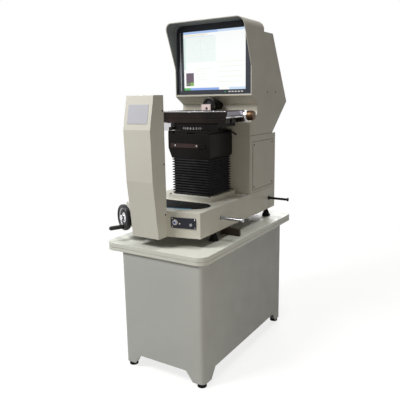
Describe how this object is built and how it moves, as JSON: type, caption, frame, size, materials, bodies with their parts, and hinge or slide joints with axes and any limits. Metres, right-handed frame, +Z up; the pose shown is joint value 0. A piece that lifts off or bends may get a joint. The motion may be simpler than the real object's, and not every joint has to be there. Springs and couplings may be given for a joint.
{
  "type": "optical comparator",
  "caption": "Floor-standing optical comparator with a lamp column, a bellows-guarded lift stage, a lens and a hooded screen on a cabinet stand.",
  "frame": {"origin": "on the floor, under the middle of the whole outline", "axes": "+Z up; -Y is the side the screen faces; +X is to the right of a person facing the screen"},
  "size_m": [0.581, 1.079, 1.645],
  "materials": {
    "cream_paint": "satin",
    "grey_paint": "satin",
    "pale_board": "satin",
    "black_rubber": "matte",
    "black_iron": "satin",
    "black_paint": "satin",
    "black_plastic": "satin",
    "bright_steel": "polished",
    "bright_aluminium": "satin",
    "brown_metal": "satin",
    "bronze": "satin",
    "white_plastic": "satin",
    "clear_glass": "polished",
    "lit_screen": "polished"
  },
  "bodies": {
    "stand_and_frame": {"base": "cream_paint", "lamp_column": "cream_paint", "bellows_plate": "cream_paint", "column": "cream_paint", "column_panel": "cream_paint", "head_shell": "cream_paint", "hood": "cream_paint", "rear_cover": "cream_paint", "cabinet": "grey_paint", "tabletop": "pale_board", "level_foot_fl": "black_rubber", "level_foot_fr": "black_rubber", "level_foot_bl": "black_rubber", "level_foot_br": "black_rubber", "machine_foot_fl": "black_rubber", "machine_foot_fr": "black_rubber", "machine_foot_bl": "black_rubber", "machine_foot_br": "black_rubber", "tray_mat": "black_rubber", "bellows": "black_rubber", "rod_cap_b": "black_paint", "rod_br": "black_paint", "condenser_barrel": "black_paint", "lens_barrel": "black_paint", "camera": "black_paint", "rest_bar": "black_paint", "control_panel": "black_plastic", "bezel": "black_plastic", "inlet": "black_plastic", "rod_cap_f": "bright_steel", "rod_fr": "bright_steel", "guide_post_l": "bright_steel", "guide_post_r": "bright_steel", "wheel_bushing": "bright_steel", "lamp_plate": "bright_aluminium", "lamp_block": "bright_aluminium", "mirror_plate": "white_plastic", "condenser_lens": "clear_glass", "lens_glass": "clear_glass", "screen": "lit_screen"},
    "lift": {"saddle": "black_iron", "saddle_strip": "black_iron", "lift_nut": "bronze"},
    "focus": {"focus_slide": "black_iron"},
    "clamp": {"clamp_lever": "black_paint"},
    "swivel": {"swivel_plate": "black_iron", "stage_bed": "black_iron", "read_head": "bright_aluminium"},
    "stage": {"stage_table": "black_iron"},
    "knob": {"stage_knob": "brown_metal"},
    "wheel": {"handwheel": "black_plastic", "wheel_shaft": "bright_steel"},
    "grip": {"crank_grip": "black_plastic"},
    "screw": {"lift_screw": "bright_steel"},
    "button": {"start_button": "white_plastic"},
    "light": {"light_knob": "white_plastic"}
  },
  "joints": [
    {"name": "lift_slide", "type": "slide", "parent": "stand_and_frame", "child": "lift", "axis": [0, 0, 1], "range_m": [-0.05, 0.05], "deforming": ["bellows"]},
    {"name": "focus_slide", "type": "slide", "parent": "lift", "child": "focus", "axis": [0, 1, 0], "range_m": [-0.012, 0.012]},
    {"name": "clamp_turn", "type": "hinge", "parent": "focus", "child": "clamp", "pos_m": [0.0735, 0.0085, 1.1026], "axis": [1, 0, 0], "range_deg": [0, 30]},
    {"name": "swivel_turn", "type": "hinge", "parent": "focus", "child": "swivel", "pos_m": [-0.0265, -0.0725, 1.1102], "axis": [0, 0, 1], "range_deg": [-8, 8]},
    {"name": "stage_slide", "type": "slide", "parent": "swivel", "child": "stage", "axis": [1, 0, 0], "range_m": [-0.06, 0.06]},
    {"name": "knob_turn", "type": "hinge", "parent": "stage", "child": "knob", "pos_m": [0.1815, 0.0045, 1.1783], "axis": [1, 0, 0], "range_deg": [-2165, 2165]},
    {"name": "wheel_turn", "type": "hinge", "parent": "stand_and_frame", "child": "wheel", "pos_m": [-0.22262, -0.45242, 0.719], "axis": [-0.454, -0.891, 0], "range_deg": [-3010, 3010]},
    {"name": "grip_turn", "type": "hinge", "parent": "wheel", "child": "grip", "pos_m": [-0.22262, -0.45242, 0.675], "axis": [-0.454, -0.891, 0], "continuous": true},
    {"name": "screw_turn", "type": "hinge", "parent": "stand_and_frame", "child": "screw", "pos_m": [-0.0265, -0.0675, 0.9], "axis": [0, 0, 1], "range_deg": [-3010, 3010]},
    {"name": "button_push", "type": "slide", "parent": "stand_and_frame", "child": "button", "axis": [-0.1997, 0.9799, 0], "range_m": [0, 0.003], "stiffness_N_per_m": 600, "springref_m": -0.001},
    {"name": "light_turn", "type": "hinge", "parent": "stand_and_frame", "child": "light", "pos_m": [0.13223, -0.41691, 0.718], "axis": [0.1997, -0.9799, 0], "range_deg": [-135, 135]}
  ],
  "couplings": [
    {"joint": "screw_turn", "follows": "lift_slide", "rad_per_m": -1047.2},
    {"joint": "wheel_turn", "follows": "lift_slide", "rad_per_m": 1047.2},
    {"joint": "knob_turn", "follows": "stage_slide", "rad_per_m": 628.32}
  ]
}
